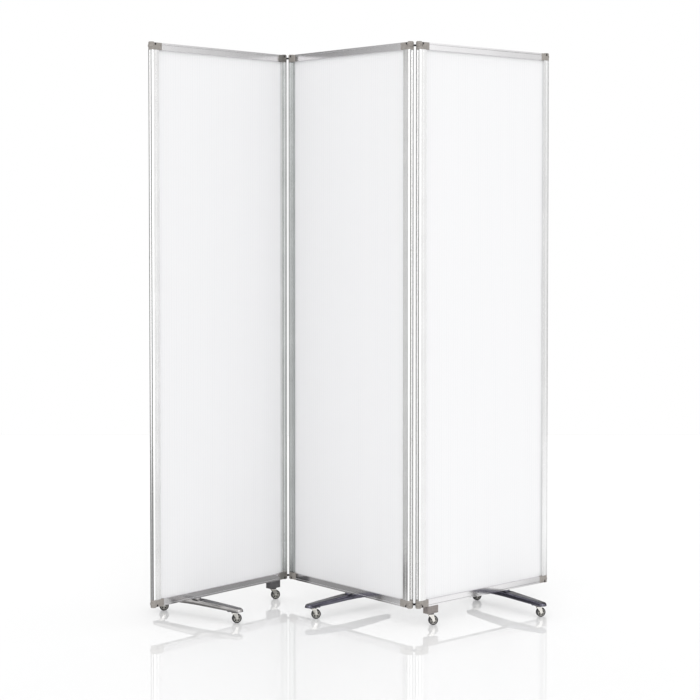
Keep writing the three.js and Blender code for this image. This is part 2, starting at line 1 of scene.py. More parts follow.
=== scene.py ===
import json
import math

import bmesh
import bpy
from mathutils import Matrix, Vector


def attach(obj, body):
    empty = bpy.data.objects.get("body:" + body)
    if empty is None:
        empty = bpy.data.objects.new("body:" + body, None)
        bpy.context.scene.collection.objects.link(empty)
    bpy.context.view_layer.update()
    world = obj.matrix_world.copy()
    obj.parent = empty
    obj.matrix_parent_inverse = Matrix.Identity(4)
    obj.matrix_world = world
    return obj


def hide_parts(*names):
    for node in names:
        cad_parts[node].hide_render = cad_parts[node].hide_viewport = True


# Ward privacy screen on wheels: the finishes and the moulded, cast and pressed pieces.
# Metres, +Z up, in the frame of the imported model.

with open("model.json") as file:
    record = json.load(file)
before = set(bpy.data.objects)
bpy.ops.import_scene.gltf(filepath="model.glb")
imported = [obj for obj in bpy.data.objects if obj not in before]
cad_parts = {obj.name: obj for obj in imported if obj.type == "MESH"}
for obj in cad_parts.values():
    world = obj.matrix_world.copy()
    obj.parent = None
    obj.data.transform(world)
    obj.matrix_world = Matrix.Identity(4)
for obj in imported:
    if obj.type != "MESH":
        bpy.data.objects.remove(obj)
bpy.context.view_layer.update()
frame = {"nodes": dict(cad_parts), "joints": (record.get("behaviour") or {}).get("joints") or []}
bpy.ops.object.select_all(action="DESELECT")

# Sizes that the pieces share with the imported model
HALF_WIDTH = 0.296
HALF_THICKNESS = 0.011
RAIL_HEIGHT = 0.022
FRAME_BOTTOM = 0.062
FRAME_TOP = 1.802
PIVOT_INSET = 0.005
PIVOT_SPACING = 0.026
EYE_RADIUS = 0.0106
RUNNING_GAP = 0.0003
FOOT_INSET = 0.190
BRACKET_INSET = 0.0585
FLUTE_PITCH = 0.0102
TRAIL = 0.008
WHEEL_RADIUS = 0.015
YAWS = {"left": 48.1, "centre": -49.4, "right": 42.2}
FOOT_TURNS = {"left": 6.5, "centre": 2.0, "right": -4.5}

# A cut runs this far past the face that it opens, unless it has a length of its own
PAST = 0.01
# Vertices and edges are picked by their place, within this distance
NEAR = 0.0003
# A face or an edge counts as pointing some way when this much of its direction does
FACING = 0.7
# Doubled vertices are this close together
DOUBLED = 0.00001

nodes = frame["nodes"]
joints = {joint["name"]: joint for joint in frame["joints"]}


def pivot(name):
    """The place of a joint."""
    return Vector(joints[name]["pos_m"])


def turn(degrees):
    """A turn about the upright axis."""
    return Matrix.Rotation(math.radians(degrees), 4, "Z")


def panel_places():
    """Each panel's own frame: x along its rails, y through its thickness."""
    inner = {
        "centre": ("left_inner_pivot", -1),
        "left": ("left_outer_pivot", 1),
        "right": ("right_outer_pivot", -1),
    }
    places = {}
    for panel, (name, side) in inner.items():
        centre = pivot(name) - turn(YAWS[panel]) @ Vector((side * (HALF_WIDTH - PIVOT_INSET), 0, 0))
        places[panel] = Matrix.Translation((centre.x, centre.y, 0)) @ turn(YAWS[panel])
    return places


PANELS = panel_places()
CASTERS = [name[: -len("_swivel")] for name in joints if name.endswith("_swivel")]


# Camera: level enough to keep the posts upright, a little above the middle of the screen
CAMERA_PLACE = (-0.0083, -5.558, 1.2645)
CAMERA_TILT = 88
SENSOR_WIDTH = 36
FOCAL_LENGTH = 89.49
LENS_SHIFT = -0.1016


def add_camera():
    bpy.ops.object.camera_add(location=CAMERA_PLACE, rotation=(math.radians(CAMERA_TILT), 0, 0))
    camera = bpy.context.object
    camera.data.sensor_width = SENSOR_WIDTH
    camera.data.lens = FOCAL_LENGTH
    camera.data.shift_y = LENS_SHIFT
    bpy.context.scene.camera = camera


# Modelling helpers


def block(low, high):
    """A box primitive between two corners."""
    low, high = Vector(low), Vector(high)
    bpy.ops.object.select_all(action="DESELECT")
    bpy.ops.mesh.primitive_cube_add(size=1, location=(low + high) / 2, scale=high - low)
    bpy.ops.object.transform_apply(location=True, rotation=True, scale=True)
    return bpy.context.object


def slab(half_length, half_width, low, high):
    """A box primitive centred over the origin, between two heights."""
    return block((-half_length, -half_width, low), (half_length, half_width, high))


def flat_sheet(centre, length, width, height):
    """A plane primitive that lies level, with its centre on x."""
    bpy.ops.object.select_all(action="DESELECT")
    bpy.ops.mesh.primitive_plane_add(size=1, location=(centre, 0, height))
    bpy.context.object.scale = (length, width, 1)
    bpy.ops.object.transform_apply(location=True, rotation=True, scale=True)
    return bpy.context.object


def barrel(radius, bottom, top, sides, at=(0, 0)):
    """An upright cylinder primitive between two heights."""
    bpy.ops.object.select_all(action="DESELECT")
    bpy.ops.mesh.primitive_cylinder_add(
        vertices=sides, radius=radius, depth=top - bottom, location=(at[0], at[1], (bottom + top) / 2)
    )
    bpy.ops.object.transform_apply(location=True, rotation=True, scale=True)
    return bpy.context.object


def pick(piece, kind, wanted):
    """Opens a piece in edit mode with only the wanted vertices, edges or faces selected."""
    bpy.context.view_layer.objects.active = piece
    bpy.ops.object.mode_set(mode="EDIT")
    bpy.ops.mesh.select_mode(type=kind)
    bpy.ops.mesh.select_all(action="DESELECT")
    mesh = bmesh.from_edit_mesh(piece.data)
    parts = {"VERT": mesh.verts, "EDGE": mesh.edges, "FACE": mesh.faces}[kind]
    for part in parts:
        if wanted(part):
            part.select_set(True)
    mesh.select_flush_mode()
    bmesh.update_edit_mesh(piece.data)


def close():
    """Leaves edit mode."""
    bpy.ops.object.mode_set(mode="OBJECT")


def middle(part):
    """The middle of an edge or a face."""
    points = [vertex.co for vertex in part.verts]
    return sum(points, Vector()) / len(points)


def upright(edge):
    """True for an edge that runs up and down."""
    along = edge.verts[1].co - edge.verts[0].co
    return abs(along.z) > FACING * along.length


def at_height(vertex, height):
    """True for a vertex that lies at a height."""
    return abs(vertex.co.z - height) < NEAR


def round_off(piece, wanted, width, segments):
    """Rounds the wanted edges in edit mode."""
    pick(piece, "EDGE", wanted)
    bpy.ops.mesh.bevel(offset=width, segments=segments, affect="EDGES", clamp_overlap=True)
    close()


def round_rim(piece, height, width, segments):
    """Rounds the level edges that lie at a height."""
    round_off(piece, lambda e: all(at_height(v, height) for v in e.verts), width, segments)


def finish_with(piece, kind, **settings):
    """Adds a modifier and applies it."""
    modifier = piece.modifiers.new(kind.title(), kind)
    for key, value in settings.items():
        setattr(modifier, key, value)
    bpy.context.view_layer.objects.active = piece
    bpy.ops.object.modifier_apply(modifier=modifier.name)


def combine(piece, operation, *tools):
    """Joins tools to a piece or cuts them out of it, and removes them."""
    for tool in tools:
        finish_with(piece, "BOOLEAN", operation=operation, solver="EXACT", object=tool)
        bpy.data.objects.remove(tool)
    return piece


def gather(piece, *others):
    """Puts loose shells that touch into one piece."""
    bpy.ops.object.select_all(action="DESELECT")
    for other in (*others, piece):
        other.select_set(True)
    bpy.context.view_layer.objects.active = piece
    bpy.ops.object.join()
    bpy.ops.object.select_all(action="DESELECT")
    return piece


def soften(piece, width, segments, angle=35):
    """Small radius on every sharp edge, then smooth shading between flat faces."""
    finish_with(
        piece, "BEVEL", width=width, segments=segments, limit_method="ANGLE",
        angle_limit=math.radians(angle), use_clamp_overlap=True, miter_outer="MITER_ARC",
    )
    smooth(piece)
    return piece


def smooth(piece, angle=40):
    """Smooth shading, with a crease wherever faces meet more sharply than the angle."""
    bpy.ops.object.select_all(action="DESELECT")
    piece.select_set(True)
    bpy.context.view_layer.objects.active = piece
    bpy.ops.object.shade_smooth_by_angle(angle=math.radians(angle))
    piece.select_set(False)


def spun(piece, steps):
    """Turns a flat profile in x and y about the y axis into a closed ring."""
    pick(piece, "FACE", lambda face: True)
    bpy.ops.mesh.delete(type="ONLY_FACE")
    bpy.ops.mesh.select_all(action="SELECT")
    bpy.ops.mesh.spin(steps=steps, angle=math.tau, center=(0, 0, 0), axis=(0, 1, 0))
    bpy.ops.mesh.select_all(action="SELECT")
    bpy.ops.mesh.remove_doubles(threshold=DOUBLED)
    bpy.ops.mesh.normals_make_consistent(inside=False)
    close()
    return piece


def lay_over(piece, degrees, place=(0, 0, 0)):
    """Turns an upright piece about x, so that it lies along an axle, and moves it."""
    piece.data.transform(Matrix.Rotation(math.radians(degrees), 4, "X"))
    piece.data.transform(Matrix.Translation(place))


def place_copy(pattern, name, place, body, slot, finish, *replaced):
    """Copies a pattern with its own mesh to its place, and lets it ride on its body."""
    piece = pattern.copy()
    piece.data = pattern.data.copy()
    piece.name = name
    piece.data.name = name
    piece.data.transform(place)
    piece.data.materials.clear()
    piece.data.materials.append(finish)
    bpy.context.scene.collection.objects.link(piece)
    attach(piece, body)
    if replaced:
        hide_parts(*replaced)
    return piece


# Moulded, cast and pressed pieces, each modelled once at its own origin

# Corner cap: x runs in from the panel's edge, and z is measured from the top of the frame
CAP_LENGTH = 0.038
CAP_CORNER_RADIUS = 0.0046
CAP_EDGE = 0.0005
KNUCKLE_RADIUS = 0.0085
KNUCKLE_RISE = 0.0025
KNUCKLE_ROUNDING = 0.0015
SHEET_GROOVE_START = 0.018
SHEET_GROOVE_HALF_WIDTH = 0.0033
SHEET_GROOVE_TOP = -0.014
NOTCH_NEAR, NOTCH_FAR = 0.0095, 0.0158
NOTCH_SIDE = 0.0045
NOTCH_FLOOR = -0.0075
SLOT_LOW, SLOT_HIGH = -0.0128, -0.0072
SLOT_DEPTH = 0.0103
SLOT_CUT = 0.02
EYE_GAP = 0.0004
PIN_RADIUS = 0.003
PIN_LOW, PIN_HIGH = -0.020, 0.0022


def cap_pattern(hinged):
    """Corner cap: a block over post and rail, and a knuckle with a slot or a blank lug."""
    axis = (PIVOT_INSET, 0)
    beside = HALF_THICKNESS + PAST
    cap = block((0, -HALF_THICKNESS, -RAIL_HEIGHT), (CAP_LENGTH, HALF_THICKNESS, 0))
    round_off(cap, lambda e: upright(e) and middle(e).x < NEAR, CAP_CORNER_RADIUS, 6)
    knuckle = barrel(KNUCKLE_RADIUS, -RAIL_HEIGHT, KNUCKLE_RISE, 64, axis)
    round_rim(knuckle, KNUCKLE_RISE, KNUCKLE_ROUNDING, 4)
    combine(cap, "UNION", knuckle)
    groove_low = (SHEET_GROOVE_START, -SHEET_GROOVE_HALF_WIDTH, -RAIL_HEIGHT - PAST)
    groove_high = (CAP_LENGTH + PAST, SHEET_GROOVE_HALF_WIDTH, SHEET_GROOVE_TOP)
    cuts = [block(groove_low, groove_high)]
    for side in (1, -1):
        low, high = sorted((side * NOTCH_SIDE, side * beside))
        cuts.append(block((NOTCH_NEAR, low, NOTCH_FLOOR), (NOTCH_FAR, high, PAST)))
    combine(cap, "DIFFERENCE", *cuts)
    if hinged:
        slot = block((-SLOT_CUT, -SLOT_CUT, SLOT_LOW), (SLOT_DEPTH, SLOT_CUT, SLOT_HIGH))
        eye = barrel(EYE_RADIUS + EYE_GAP, SLOT_LOW, SLOT_HIGH, 64, axis)
        hole = barrel(PIN_RADIUS + RUNNING_GAP, PIN_LOW - RUNNING_GAP, PAST, 32, axis)
        combine(cap, "DIFFERENCE", slot, eye, hole)
    else:
        combine(cap, "UNION", barrel(EYE_RADIUS, SLOT_LOW, SLOT_HIGH, 64, axis))
    return soften(cap, CAP_EDGE, 3)


# Screws in the caps' notches: their blackened heads also paint the shade deep in the notches
CAP_SCREW_X, CAP_SCREW_Y = 0.0127, 0.0078
CAP_SCREW_RADIUS = 0.0030
CAP_SCREW_TOP = -0.0004
CAP_SCREW_ROUNDING = 0.0008
CAP_SCREW_SUNK = 0.0001
CAP_SOCKET_RADIUS = 0.0014
CAP_SOCKET_FLOOR = -0.0024


def cap_screws_pattern():
    """Blackened screws that stand in a cap's two notches and hold it on its post. Their black heads also
    paint the shade deep in the notches.
    """
    heads = []
    for side in (1, -1):
        place = (CAP_SCREW_X, side * CAP_SCREW_Y)
        head = barrel(CAP_SCREW_RADIUS, NOTCH_FLOOR - CAP_SCREW_SUNK, CAP_SCREW_TOP, 32, place)
        round_rim(head, CAP_SCREW_TOP, CAP_SCREW_ROUNDING, 3)
        combine(head, "DIFFERENCE", barrel(CAP_SOCKET_RADIUS, CAP_SOCKET_FLOOR, PAST, 6, place))
        smooth(head)
        heads.append(head)
    return gather(*heads)


# Pivot link: one pin stands at the origin, and the other lies along x
LINK_LOW, LINK_HIGH = SLOT_LOW + RUNNING_GAP, SLOT_HIGH - RUNNING_GAP
BAR_HALF_WIDTH = 0.005
BAR_EDGE = 0.0006
BAR_GAP = 0.0001
PIN_BORDER = 0.0012
PIN_DISHING = 0.985
PIN_EDGE = 0.0004
EYE_EDGE = 0.0004


def link_pattern():
    """Pivot link: a flat steel bar with a riveted pin through each end."""
    bar = barrel(BAR_HALF_WIDTH, LINK_LOW, LINK_HIGH, 48)
    pick(bar, "VERT", lambda v: v.co.x > 0)
    bpy.ops.transform.translate(value=(PIVOT_SPACING, 0, 0))
    close()
    soften(bar, BAR_EDGE, 3)
    pins = []
    for x in (0, PIVOT_SPACING):
        pin = barrel(PIN_RADIUS, PIN_LOW, PIN_HIGH, 32, (x, 0))
        pick(pin, "FACE", lambda f: abs(f.normal.z) > FACING)
        bpy.ops.mesh.inset(thickness=PIN_BORDER)
        centre = (x, 0, (PIN_LOW + PIN_HIGH) / 2)
        bpy.ops.transform.resize(value=(1, 1, PIN_DISHING), center_override=centre)
        close()
        pins.append(soften(pin, PIN_EDGE, 3))
    return gather(bar, *pins)


def eyes_pattern():
    """Nylon eyes round both ends of a link. They fill the slots of the knuckles."""
    eyes = []
    inside = BAR_HALF_WIDTH + BAR_GAP
    for x, side in ((0, 1), (PIVOT_SPACING, -1)):
        eye = barrel(EYE_RADIUS, LINK_LOW, LINK_HIGH, 64, (x, 0))
        low, high = sorted((x, x + side * (EYE_RADIUS + PAST)))
        seat = block((low, -inside, PIN_LOW), (high, inside, PAST))
        combine(eye, "DIFFERENCE", barrel(inside, PIN_LOW, PAST, 48, (x, 0)), seat)
        eyes.append(soften(eye, EYE_EDGE, 3))
    return gather(*eyes)


# Cross foot: y runs along it, and its arms fall and narrow from a level middle to the tips
FOOT_HALF_WIDTH = 0.019
FOOT_MIDDLE = 0.020
FOOT_BOTTOM, FOOT_TOP = 0.042, 0.057
# place along the foot, half width, underside and top
FOOT_STATIONS = [
    (0.124, 0.0153, 0.0383, 0.0520),
    (0.169, 0.0139, 0.0383, 0.0490),
    (0.183, 0.0135, 0.0383, 0.0476),
]
FOOT_TIP_ROUNDING = 0.0125
# All of the upper edges lie above this height and all of the lower ones below it. The upper ones
# draw in by the draft, as a casting's do
FOOT_SPLIT = 0.0465
FOOT_DRAFT = (0.87, 0.988, 1)
FOOT_ROUNDING = 0.0036
FOOT_EDGE = 0.0007
RECESS_BORDER = 0.004
RECESS_DEPTH = 0.006
BOSS_RADIUS = 0.012
BOSS_ROOT, BOSS_TOP = 0.045, 0.0617
COUNTERBORE_RADIUS = 0.0068
COUNTERBORE_TOP = 0.048


def foot_pattern():
    """Cross foot: a tapered casting with a round boss, round tips and a hollow under each arm."""
    foot = slab(FOOT_HALF_WIDTH, FOOT_MIDDLE, FOOT_BOTTOM, FOOT_TOP)
    for side in (1, -1):
        last_place, last_half, last_low, last_high = FOOT_MIDDLE, FOOT_HALF_WIDTH, FOOT_BOTTOM, FOOT_TOP
        for place, half, low, high in FOOT_STATIONS:
            pick(foot, "FACE", lambda f: f.normal.y * side > FACING)
            move = (0, side * (place - last_place), 0)
            bpy.ops.mesh.extrude_region_move(TRANSFORM_OT_translate={"value": move})
            height = (high - low) / (last_high - last_low)
            centre = (0, side * place, (last_low + last_high) / 2)
            bpy.ops.transform.resize(value=(half / last_half, 1, height), center_override=centre)
            bpy.ops.transform.translate(value=(0, 0, (low + high - last_low - last_high) / 2))
            close()
            last_place, last_half, last_low, last_high = place, half, low, high
    round_off(foot, lambda e: upright(e) and abs(middle(e).y) > last_place - NEAR, FOOT_TIP_ROUNDING, 8)
    pick(foot, "VERT", lambda v: v.co.z > FOOT_SPLIT)
    bpy.ops.transform.resize(value=FOOT_DRAFT, center_override=(0, 0, FOOT_TOP))
    close()
    on_top = lambda e: all(v.co.z > FOOT_SPLIT for v in e.verts)
    on_rim = lambda e: on_top(e) and any(f.normal.z < FACING for f in e.link_faces)
    round_off(foot, on_rim, FOOT_ROUNDING, 6)
    along = lambda f: abs(f.calc_center_median().y)
    first = FOOT_STATIONS[0][0]
    pick(foot, "FACE", lambda f: f.normal.z < -FACING and FOOT_MIDDLE < along(f) < first)
    bpy.ops.mesh.inset(thickness=RECESS_BORDER, use_individual=True)
    bpy.ops.mesh.extrude_region_move(TRANSFORM_OT_translate={"value": (0, 0, RECESS_DEPTH)})
    close()
    combine(foot, "UNION", barrel(BOSS_RADIUS, BOSS_ROOT, BOSS_TOP, 64))
    combine(foot, "DIFFERENCE", barrel(COUNTERBORE_RADIUS, FOOT_BOTTOM - PAST, COUNTERBORE_TOP, 48))
    return soften(foot, FOOT_EDGE, 3, 40)


# Box bracket
BRACKET_HALF_LENGTH = 0.022
BRACKET_HALF_DEPTH = 0.012
BRACKET_BOTTOM, BRACKET_TOP = 0.0383, 0.0617
BRACKET_CORNER_RADIUS = 0.0014
BRACKET_WALL = 0.0024
BRACKET_EDGE = 0.0003
RIB_PITCH = 0.006
RIB_HALF_WIDTH = 0.001
RIB_ROOT, RIB_FACE = 0.0215, 0.0226
SOCKET_RADIUS = 0.0083
SOCKET_TOP = 0.0605
SOCKET_BORE_RADIUS = 0.0053
SOCKET_BORE_TOP = 0.0546


def bracket_pattern():
    """Box bracket: open underneath, ribbed ends and a socket for the caster's stem."""
    length, depth, under = BRACKET_HALF_LENGTH, BRACKET_HALF_DEPTH, BRACKET_BOTTOM - PAST
    bracket = slab(length, depth, BRACKET_BOTTOM, BRACKET_TOP)
    round_off(bracket, upright, BRACKET_CORNER_RADIUS, 4)
    inside = slab(length - BRACKET_WALL, depth - BRACKET_WALL, under, BRACKET_TOP - BRACKET_WALL)
    combine(bracket, "DIFFERENCE", inside)
    ribs = []
    for side in (1, -1):
        for step in (-1, 0, 1):
            low, high = sorted((side * RIB_ROOT, side * RIB_FACE))
            near, far = step * RIB_PITCH - RIB_HALF_WIDTH, step * RIB_PITCH + RIB_HALF_WIDTH
            ribs.append(block((low, near, BRACKET_BOTTOM), (high, far, BRACKET_TOP)))
    combine(bracket, "UNION", *ribs, barrel(SOCKET_RADIUS, BRACKET_BOTTOM, SOCKET_TOP, 48))
    combine(bracket, "DIFFERENCE", barrel(SOCKET_BORE_RADIUS, under, SOCKET_BORE_TOP, 40))
    return soften(bracket, BRACKET_EDGE, 2)


# Mounting plate and its screws, or the stem, with the swivel's race and kingpin under it
PLATE_HALF_WIDTH = 0.013
PLATE_HALF_LENGTH = 0.021
PLATE_BOTTOM, PLATE_TOP = 0.036, 0.038
PLATE_CORNER_RADIUS = 0.004
SCREW_X, SCREW_Y = 0.0088, 0.0165
SCREW_RADIUS = 0.0032
SCREW_TOP = 0.0359
SCREW_HEIGHT = 0.0016
SCREW_ROUNDING = 0.0009
SCREW_SOCKET_RADIUS = 0.0015
# both are measured down from the screw's top
SCREW_SOCKET_FLOOR, SCREW_SOCKET_CUT = 0.0008, 0.003
RACE_RADIUS = 0.010
RACE_BOTTOM, RACE_TOP = 0.035, 0.0363
RACE_ROUNDING = 0.0007
KINGPIN_RADIUS = 0.003
KINGPIN_BOTTOM, KINGPIN_TOP = 0.0325, 0.0355
KINGPIN_HEAD_RADIUS = 0.0046
KINGPIN_HEAD_BOTTOM, KINGPIN_HEAD_TOP = 0.0314, 0.0327
KINGPIN_HEAD_ROUNDING = 0.0009
STEM_RADIUS = 0.005
STEM_ROOT, STEM_TOP = 0.037, 0.0543
STEM_ROUNDING = 0.0008
PRESSED_EDGE = 0.0003


def screw_head(x, y):
    """Pan head with a hexagon socket, hanging under a plate."""
    bottom = SCREW_TOP - SCREW_HEIGHT
    head = barrel(SCREW_RADIUS, bottom, SCREW_TOP, 24, (x, y))
    round_rim(head, bottom, SCREW_ROUNDING, 3)
    low, high = SCREW_TOP - SCREW_SOCKET_CUT, SCREW_TOP - SCREW_SOCKET_FLOOR
    socket = barrel(SCREW_SOCKET_RADIUS, low, high, 6, (x, y))
    combine(head, "DIFFERENCE", socket)
    smooth(head)
    return head


def race_parts():
    """Pressed ball race and the kingpin's riveted head."""
    race = barrel(RACE_RADIUS, RACE_BOTTOM, RACE_TOP, 48)
    round_rim(race, RACE_BOTTOM, RACE_ROUNDING, 3)
    pin = barrel(KINGPIN_RADIUS, KINGPIN_BOTTOM, KINGPIN_TOP, 24)
    head = barrel(KINGPIN_HEAD_RADIUS, KINGPIN_HEAD_BOTTOM, KINGPIN_HEAD_TOP, 32)
    round_rim(head, KINGPIN_HEAD_BOTTOM, KINGPIN_HEAD_ROUNDING, 3)
    combine(race, "UNION", pin, head)
    smooth(race)
    return race


def plate_pattern():
    """Mounting plate with round corners and its ball race."""
    plate = slab(PLATE_HALF_WIDTH, PLATE_HALF_LENGTH, PLATE_BOTTOM, PLATE_TOP)
    round_off(plate, upright, PLATE_CORNER_RADIUS, 6)
    soften(plate, PRESSED_EDGE, 2)
    return gather(plate, race_parts())


def screws_pattern():
    """The four screws that hold a mounting plate."""
    return gather(*[screw_head(x, y) for x in (-SCREW_X, SCREW_X) for y in (-SCREW_Y, SCREW_Y)])


def stem_pattern():
    """Plain stem with its shoulder disc and ball race."""
    disc = barrel(RACE_RADIUS, PLATE_BOTTOM, PLATE_TOP, 48)
    stem = barrel(STEM_RADIUS, STEM_ROOT, STEM_TOP, 40)
    round_rim(stem, STEM_TOP, STEM_ROUNDING, 3)
    combine(disc, "UNION", stem)
    soften(disc, PRESSED_EDGE, 2)
    return gather(disc, race_parts())


# Fork: x runs from the kingpin to the axle, and the crown's height is the middle of its sheet
CROWN_HEIGHT = 0.03385
CROWN_MIDDLE = 0.0005
CROWN_LENGTH, CROWN_WIDTH = 0.0180, 0.0145
# height, middle and half length of each step down a leg
LEG_STEPS = [
    (0.0300, 0.0010, 0.0080),
    (0.0240, 0.0042, 0.0060),
    (0.0170, 0.0076, 0.0046),
    (0.0108, 0.0080, 0.0042),
]
LEG_END_ROUNDING = 0.0036
BEND_RADIUS = 0.0016
FORK_SHEET = 0.0015
RIVET_RADIUS = 0.0027
RIVET_ROOT, RIVET_TOP = 0.0072, 0.0089
RIVET_ROUNDING = 0.0008
AXLE_RADIUS = 0.0020
AXLE_HALF_LENGTH = 0.0078


def fork_pattern():
    """Pressed fork: one bent sheet with round crown and leg ends, and a riveted axle."""
    fork = flat_sheet(CROWN_MIDDLE, CROWN_LENGTH, CROWN_WIDTH, CROWN_HEIGHT)
    for side in (1, -1):
        last_height, last_middle, last_half = CROWN_HEIGHT, CROWN_MIDDLE, CROWN_LENGTH / 2
        for height, centre, half in LEG_STEPS:
            beside = lambda v: v.co.y * side > CROWN_WIDTH / 2 - NEAR
            pick(fork, "EDGE", lambda e: all(beside(v) and at_height(v, last_height) for v in e.verts))
            move = (centre - last_middle, 0, height - last_height)
            bpy.ops.mesh.extrude_region_move(TRANSFORM_OT_translate={"value": move})
            end = (centre, side * CROWN_WIDTH / 2, height)
            bpy.ops.transform.resize(value=(half / last_half, 1, 1), center_override=end)
            close()
            last_height, last_middle, last_half = height, centre, half
    pick(fork, "VERT", lambda v: at_height(v, last_height))
    bpy.ops.mesh.bevel(offset=LEG_END_ROUNDING, segments=6, affect="VERTICES", clamp_overlap=True)
    close()
    on_crown = lambda e: all(at_height(v, CROWN_HEIGHT) for v in e.verts)
    round_off(fork, lambda e: on_crown(e) and len(e.link_faces) == 2, BEND_RADIUS, 4)
    pick(fork, "FACE", lambda f: True)
    bpy.ops.mesh.normals_make_consistent(inside=False)
    close()
    finish_with(fork, "SOLIDIFY", thickness=FORK_SHEET, offset=0)
    soften(fork, PRESSED_EDGE, 2)
    hole = barrel(KINGPIN_RADIUS + RUNNING_GAP, CROWN_HEIGHT - PAST, CROWN_HEIGHT + PAST, 32)
    combine(fork, "DIFFERENCE", hole)
    rivets = []
    for side in (1, -1):
        rivet = barrel(RIVET_RADIUS, RIVET_ROOT, RIVET_TOP, 32)
        round_rim(rivet, RIVET_TOP, RIVET_ROUNDING, 4)
        lay_over(rivet, -90 * side, (TRAIL, 0, WHEEL_RADIUS))
        smooth(rivet)
        rivets.append(rivet)
    axle = barrel(AXLE_RADIUS, -AXLE_HALF_LENGTH, AXLE_HALF_LENGTH, 24)
    lay_over(axle, 90, (TRAIL, 0, WHEEL_RADIUS))
    smooth(axle)
    return gather(fork, axle, *rivets)


# Wheel: its axle runs along y
TYRE_WIDTH = 0.012
SHOULDER_RADIUS = 0.0024
TYRE_SEAT_ROUNDING = 0.0004
HUB_RADIUS = 0.0114
HUB_HALF_WIDTH = 0.0055
# border and depth of each step in a hub's face: rim to web, web to boss, boss to axle
HUB_STEPS = [(0.0010, -0.0026), (0.0056, 0.0033), (0.0012, -0.0006)]
HUB_EDGE = 0.00025
AXLE_HOLE_RADIUS = AXLE_RADIUS + RUNNING_GAP
HUB_HOLE_RADIUS = 0.0026
HUB_HOLE_CIRCLE = 0.0076
FIRST_HOLE_ANGLE = 0.3
HUB_HOLE_ANGLES = [FIRST_HOLE_ANGLE + i * math.tau / 5 for i in range(5)]
HUB_HOLES = [(HUB_HOLE_CIRCLE * math.cos(a), HUB_HOLE_CIRCLE * math.sin(a)) for a in HUB_HOLE_ANGLES]
PLUG_HALF_WIDTH = 0.0016
PLUG_GAP = 0.00005


def tyre_pattern():
    """Tyre: a round-shouldered ring, and the plugs that its rubber leaves in the hub's holes."""
    ring_middle = (HUB_RADIUS + WHEEL_RADIUS) / 2
    tyre = flat_sheet(ring_middle, WHEEL_RADIUS - HUB_RADIUS, TYRE_WIDTH, 0)
    pick(tyre, "VERT", lambda v: v.co.x > ring_middle)
    bpy.ops.mesh.bevel(offset=SHOULDER_RADIUS, segments=6, affect="VERTICES")
    close()
    pick(tyre, "VERT", lambda v: v.co.x < HUB_RADIUS + NEAR)
    bpy.ops.mesh.bevel(offset=TYRE_SEAT_ROUNDING, segments=2, affect="VERTICES")
    close()
    spun(tyre, 80)
    smooth(tyre)
    plugs = []
    for place in HUB_HOLES:
        plug = barrel(HUB_HOLE_RADIUS - PLUG_GAP, -PLUG_HALF_WIDTH, PLUG_HALF_WIDTH, 24, place)
        soften(plug, PRESSED_EDGE, 2)
        lay_over(plug, 90)
        plugs.append(plug)
    return gather(tyre, *plugs)


def hub_pattern():
    """Hub: a rim, a recessed web with five holes and a boss at the axle."""
    hub = barrel(HUB_RADIUS, -HUB_HALF_WIDTH, HUB_HALF_WIDTH, 80)
    for side in (1, -1):
        pick(hub, "FACE", lambda f: f.normal.z * side > FACING)
        for border, depth in HUB_STEPS:
            bpy.ops.mesh.inset(thickness=border)
            bpy.ops.mesh.extrude_region_move(TRANSFORM_OT_translate={"value": (0, 0, side * depth)})
        close()
    reach = HUB_HALF_WIDTH + PAST
    holes = [barrel(HUB_HOLE_RADIUS, -reach, reach, 24, place) for place in HUB_HOLES]
    combine(hub, "DIFFERENCE", *holes, barrel(AXLE_HOLE_RADIUS, -reach, reach, 32))
    soften(hub, HUB_EDGE, 2)
    lay_over(hub, 90)
    return hub


# Materials


def linear(colour):
    """An sRGB hex value as a linear colour."""
    parts = [int(colour[i : i + 2], 16) / 255 for i in (1, 3, 5)]
    return (*(p / 12.92 if p <= 0.04045 else ((p + 0.055) / 1.055) ** 2.4 for p in parts), 1)


def add_node(tree, kind, settings=None, inputs=None):
    """Adds a node. An input takes a value, or the socket that feeds it."""
    made = tree.nodes.new(kind)
    for key, value in (settings or {}).items():
        setattr(made, key, value)
    for key, value in (inputs or {}).items():
        if isinstance(value, bpy.types.NodeSocket):
            tree.links.new(value, made.inputs[key])
        else:
            made.inputs[key].default_value = value
    return made


def new_material(name):
    """A material with its tree emptied, and its output node."""
    material = bpy.data.materials.new(name)
    material.use_nodes = True
    tree = material.node_tree
    tree.nodes.clear()
    return material, tree, tree.nodes.new("ShaderNodeOutputMaterial")


def on_panel(tree, panel):
    """Object coordinates, and the same with x along the panel's rails and y through its thickness."""
    place = add_node(tree, "ShaderNodeTexCoord").outputs["Object"]
    to_middle = -PANELS[panel].translation
    moved = add_node(tree, "ShaderNodeMapping", inputs={"Vector": place, "Location": to_middle})
    back = (0, 0, -math.radians(YAWS[panel]))
    turned = add_node(tree, "ShaderNodeMapping", inputs={"Vector": moved.outputs[0], "Rotation": back})
    return place, turned.outputs[0]


def grade(shade, start, first, end, second):
    """Sets the two ends of a colour ramp."""
    for stop, position, colour in zip(shade.color_ramp.elements, (start, end), (first, second)):
        stop.position = position
        stop.color = linear(colour)


def clouded(tree, place, per_metre, detail, start, dark, end, light):
    """A colour that drifts between two shades over a piece."""
    drawn = {"Vector": place, "Scale": per_metre, "Detail": detail}
    cloud = add_node(tree, "ShaderNodeTexNoise", inputs=drawn)
    shade = add_node(tree, "ShaderNodeValToRGB", inputs={"Fac": cloud.outputs["Fac"]})
    grade(shade, start, dark, end, light)
    return shade.outputs["Color"]


# Distance between die lines as they are drawn
DIE_LINE_SPACING = 0.001
# A post's outer edge starts here, measured from the panel's middle, with a groove on each side of its rib
EDGE_START = 0.2935
GROOVE_MIDDLE, GROOVE_HALF_WIDTH = 0.0051, 0.0014


